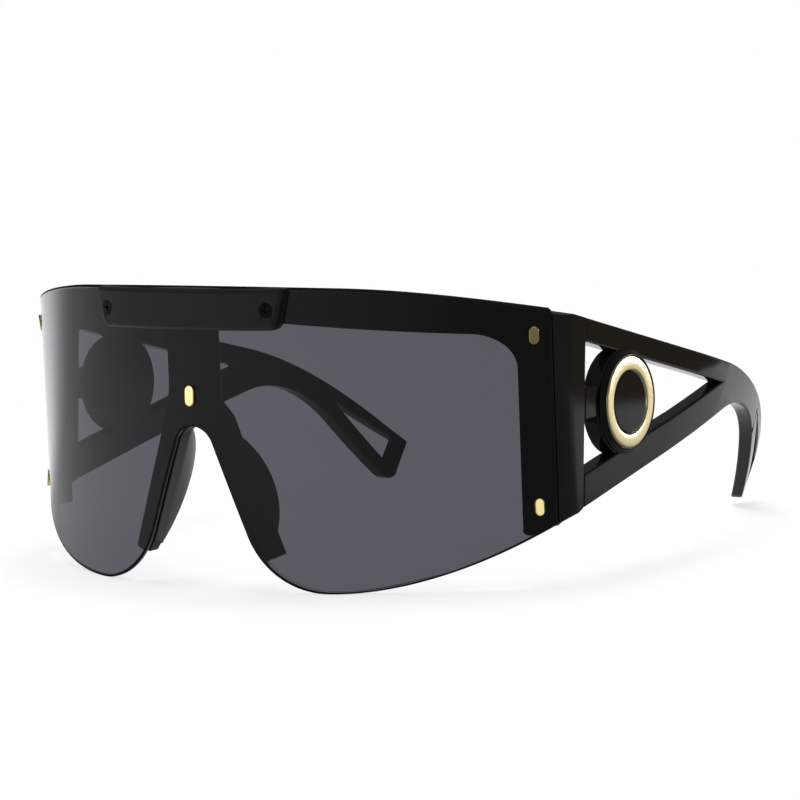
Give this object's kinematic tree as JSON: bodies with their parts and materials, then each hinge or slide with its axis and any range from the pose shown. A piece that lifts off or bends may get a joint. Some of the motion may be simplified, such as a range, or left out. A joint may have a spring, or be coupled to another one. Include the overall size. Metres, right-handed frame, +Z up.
{
  "type": "sunglasses",
  "caption": "Oversized shield sunglasses with a smoked one-piece lens, glossy black front, brow plate and wide folding temples with a gold-ringed disc.",
  "frame": {"origin": "on the floor, under the middle of the box around the open sunglasses", "axes": "+Z up, -Y the way the wearer looks, +X the wearer's left"},
  "size_m": [0.1528, 0.1632, 0.068],
  "materials": {
    "smoked_lens": "gloss",
    "gloss_black": "gloss",
    "satin_black": "satin",
    "gold": "polished",
    "dark_steel": "satin",
    "hinge_steel": "satin"
  },
  "bodies": {
    "front": {"shield_lens": "smoked_lens", "front_frame": "gloss_black", "brow_plate": "satin_black", "brow_screw_left": "dark_steel", "brow_screw_right": "dark_steel", "lens_pin_bridge": "gold", "lens_pin_upper_left": "gold", "lens_pin_lower_left": "gold", "lens_pin_upper_right": "gold", "lens_pin_lower_right": "gold", "nose_pad_left": "satin_black", "hinge_front_leaf_left": "hinge_steel", "hinge_front_rivets_left": "hinge_steel", "hinge_screw_left": "hinge_steel", "nose_pad_right": "satin_black", "hinge_front_leaf_right": "hinge_steel", "hinge_front_rivets_right": "hinge_steel", "hinge_screw_right": "hinge_steel"},
    "temple_left": {"temple_arm_left": "gloss_black", "hinge_temple_leaf_left": "hinge_steel", "hinge_temple_rivets_left": "hinge_steel", "medallion_bezel_left": "gloss_black", "medallion_ring_left": "gold", "medallion_centre_left": "gloss_black"},
    "temple_right": {"temple_arm_right": "gloss_black", "hinge_temple_leaf_right": "hinge_steel", "hinge_temple_rivets_right": "hinge_steel", "medallion_bezel_right": "gloss_black", "medallion_ring_right": "gold", "medallion_centre_right": "gloss_black"}
  },
  "joints": [
    {"name": "temple_fold_left", "type": "hinge", "parent": "front", "child": "temple_left", "pos_m": [0.06895, -0.03361, 0.039], "axis": [0, 0, 1], "range_deg": [0, 90]},
    {"name": "temple_fold_right", "type": "hinge", "parent": "front", "child": "temple_right", "pos_m": [-0.06895, -0.03361, 0.039], "axis": [0, 0, -1], "range_deg": [0, 80]}
  ]
}
